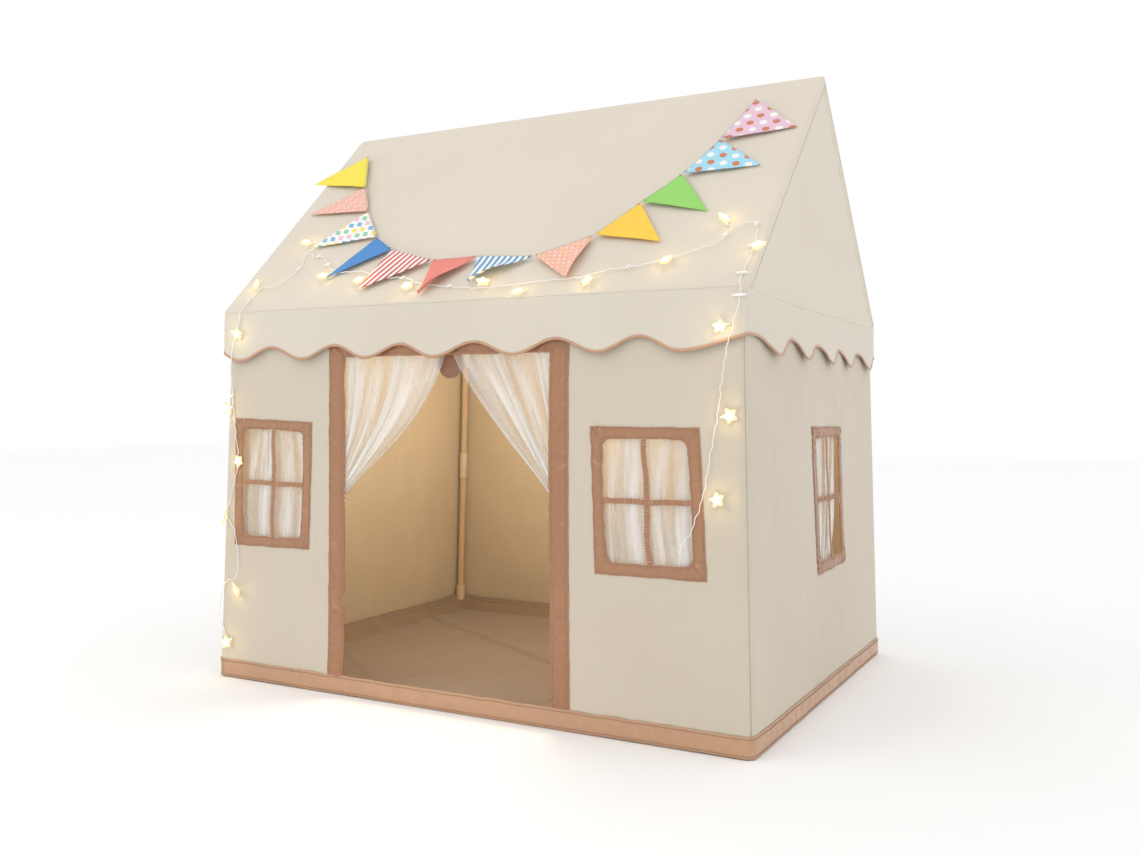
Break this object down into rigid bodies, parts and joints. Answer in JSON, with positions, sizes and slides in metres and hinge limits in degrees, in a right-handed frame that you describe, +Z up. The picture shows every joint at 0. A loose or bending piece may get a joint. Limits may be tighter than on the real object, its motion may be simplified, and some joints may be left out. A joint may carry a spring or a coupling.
{
  "type": "play tent",
  "caption": "House-shaped fabric play tent on a pole frame, with a curtained doorway, windows, a scalloped valance, pennants and a star light string.",
  "frame": {"origin": "on the floor under the middle of the tent, at the underside of the floor mat", "axes": "+Z up, -Y out of the door, +X to the right as seen from the front, along the ridge"},
  "size_m": [1.3195, 1.01, 1.35],
  "materials": {
    "canvas": "plain-weave cotton canvas, matt",
    "trim_fabric": "plain-weave cotton trim, matt",
    "sheer_fabric": "thin semi-transparent gauze",
    "mat_fabric": "quilted padded cotton",
    "pole_wood": "smooth sanded pine dowel",
    "connector_plastic": "moulded ABS, satin",
    "string_cotton": "twisted cotton cord",
    "cord_plastic": "clear-white insulated twisted pair",
    "box_plastic": "moulded ABS, satin",
    "switch_plastic": "moulded ABS, satin",
    "pennant_cloth_1": "printed plain-weave cotton",
    "pennant_cloth_2": "printed plain-weave cotton",
    "pennant_cloth_3": "printed plain-weave cotton",
    "pennant_cloth_4": "printed plain-weave cotton",
    "pennant_cloth_5": "printed plain-weave cotton",
    "pennant_cloth_6": "printed plain-weave cotton",
    "pennant_cloth_7": "printed plain-weave cotton",
    "pennant_cloth_8": "printed plain-weave cotton",
    "pennant_cloth_9": "printed plain-weave cotton",
    "pennant_cloth_10": "printed plain-weave cotton",
    "pennant_cloth_11": "printed plain-weave cotton",
    "pennant_cloth_12": "printed plain-weave cotton"
  },
  "bodies": {
    "tent": {"back_wall": "canvas", "base_connector_back_left": "connector_plastic", "base_connector_back_right": "connector_plastic", "base_connector_front_left": "connector_plastic", "base_connector_front_right": "connector_plastic", "base_hem": "trim_fabric", "base_rail_back": "pole_wood", "base_rail_front": "pole_wood", "base_rail_left": "pole_wood", "base_rail_right": "pole_wood", "battery_box": "box_plastic", "bunting_string": "string_cotton", "door_curtain_left": "sheer_fabric", "door_curtain_right": "sheer_fabric", "door_trim": "trim_fabric", "eave_connector_back_left": "connector_plastic", "eave_connector_back_right": "connector_plastic", "eave_connector_front_left": "connector_plastic", "eave_connector_front_right": "connector_plastic", "eave_rail_back": "pole_wood", "eave_rail_front": "pole_wood", "eave_rail_left": "pole_wood", "eave_rail_right": "pole_wood", "floor_mat": "mat_fabric", "front_wall": "canvas", "left_wall": "canvas", "light_cord": "cord_plastic", "post_back_left": "pole_wood", "post_back_right": "pole_wood", "post_front_left": "pole_wood", "post_front_right": "pole_wood", "rafter_back_left": "pole_wood", "rafter_back_right": "pole_wood", "rafter_front_left": "pole_wood", "rafter_front_right": "pole_wood", "ridge_connector_left": "connector_plastic", "ridge_connector_right": "connector_plastic", "ridge_pole": "pole_wood", "right_wall": "canvas", "roof_cover": "canvas", "window_curtain_front_left": "sheer_fabric", "window_curtain_front_right": "sheer_fabric", "window_curtain_right": "sheer_fabric", "window_frame_front_left": "trim_fabric", "window_frame_front_right": "trim_fabric", "window_frame_right": "trim_fabric"},
    "pennant_01": {"pennant_01": "pennant_cloth_1"},
    "pennant_02": {"pennant_02": "pennant_cloth_2"},
    "pennant_03": {"pennant_03": "pennant_cloth_3"},
    "pennant_04": {"pennant_04": "pennant_cloth_4"},
    "pennant_05": {"pennant_05": "pennant_cloth_5"},
    "pennant_06": {"pennant_06": "pennant_cloth_6"},
    "pennant_07": {"pennant_07": "pennant_cloth_7"},
    "pennant_08": {"pennant_08": "pennant_cloth_8"},
    "pennant_09": {"pennant_09": "pennant_cloth_9"},
    "pennant_10": {"pennant_10": "pennant_cloth_10"},
    "pennant_11": {"pennant_11": "pennant_cloth_11"},
    "pennant_12": {"pennant_12": "pennant_cloth_12"},
    "battery_cover": {"battery_cover": "box_plastic"},
    "battery_switch": {"battery_switch": "switch_plastic"}
  },
  "joints": [
    {"name": "pennant_01_swing", "type": "hinge", "parent": "tent", "child": "pennant_01", "pos_m": [-0.5095, -0.13139, 1.23009], "axis": [-0.4519, 0.6276, 0.6339], "range_deg": [0, 100]},
    {"name": "pennant_02_swing", "type": "hinge", "parent": "tent", "child": "pennant_02", "pos_m": [-0.436, -0.22356, 1.137], "axis": [-0.5369, 0.5936, 0.5995], "range_deg": [0, 100]},
    {"name": "pennant_03_swing", "type": "hinge", "parent": "tent", "child": "pennant_03", "pos_m": [-0.357, -0.30165, 1.05812], "axis": [-0.6178, 0.5532, 0.5588], "range_deg": [0, 100]},
    {"name": "pennant_04_swing", "type": "hinge", "parent": "tent", "child": "pennant_04", "pos_m": [-0.277, -0.3597, 0.9995], "axis": [-0.8053, 0.4171, 0.4213], "range_deg": [0, 100]},
    {"name": "pennant_05_swing", "type": "hinge", "parent": "tent", "child": "pennant_05", "pos_m": [-0.173, -0.39664, 0.96219], "axis": [-0.9341, 0.2513, 0.2538], "range_deg": [0, 100]},
    {"name": "pennant_06_swing", "type": "hinge", "parent": "tent", "child": "pennant_06", "pos_m": [-0.048, -0.41423, 0.94442], "axis": [-0.9998, -0.0123, -0.0125], "range_deg": [0, 100]},
    {"name": "pennant_07_swing", "type": "hinge", "parent": "tent", "child": "pennant_07", "pos_m": [0.08, -0.41845, 0.94016], "axis": [-0.9952, 0.069, 0.0697], "range_deg": [0, 100]},
    {"name": "pennant_08_swing", "type": "hinge", "parent": "tent", "child": "pennant_08", "pos_m": [0.21, -0.40367, 0.95508], "axis": [-0.9034, -0.3017, -0.3047], "range_deg": [0, 100]},
    {"name": "pennant_09_swing", "type": "hinge", "parent": "tent", "child": "pennant_09", "pos_m": [0.3045, -0.34844, 1.01086], "axis": [-0.5751, -0.5756, -0.5813], "range_deg": [0, 100]},
    {"name": "pennant_10_swing", "type": "hinge", "parent": "tent", "child": "pennant_10", "pos_m": [0.3725, -0.28125, 1.07873], "axis": [-0.5855, -0.5704, -0.5761], "range_deg": [0, 100]},
    {"name": "pennant_11_swing", "type": "hinge", "parent": "tent", "child": "pennant_11", "pos_m": [0.431, -0.20843, 1.15228], "axis": [-0.4061, -0.6429, -0.6494], "range_deg": [0, 100]},
    {"name": "pennant_12_swing", "type": "hinge", "parent": "tent", "child": "pennant_12", "pos_m": [0.478, -0.1145, 1.24714], "axis": [-0.2696, -0.6775, -0.6843], "range_deg": [0, 100]},
    {"name": "battery_cover_slide", "type": "slide", "parent": "tent", "child": "battery_cover", "axis": [0, 1, 0], "range_m": [0, 0.06]},
    {"name": "battery_switch_slide", "type": "slide", "parent": "tent", "child": "battery_switch", "axis": [0, 1, 0], "range_m": [0, 0.004]}
  ]
}
